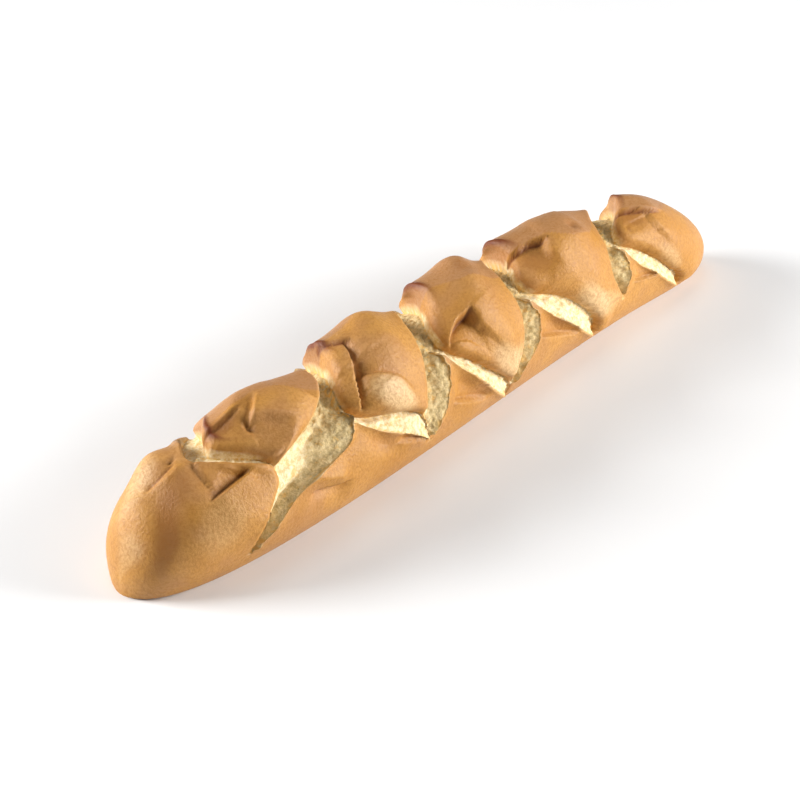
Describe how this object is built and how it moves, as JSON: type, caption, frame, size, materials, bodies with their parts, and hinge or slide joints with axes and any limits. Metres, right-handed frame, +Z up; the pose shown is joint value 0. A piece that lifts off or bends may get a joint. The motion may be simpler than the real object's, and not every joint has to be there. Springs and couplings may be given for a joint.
{
  "type": "long loaf",
  "caption": "Long crusty white loaf, snipped along its top so that it opens in pointed lobes with torn gaps between them, resting on a flat underside.",
  "frame": {"origin": "middle of the flat underside's footprint, on the surface that the loaf rests on (bottom centre of the bounding box)", "axes": "+X along the loaf to its far, narrower end; +Y to its back; +Z up"},
  "size_m": [0.4152, 0.0798, 0.0774],
  "materials": {
    "crust": "satin golden-brown crust, a little glossy on the domes"
  },
  "bodies": {
    "root": {"loaf": "crust"}
  },
  "joints": []
}
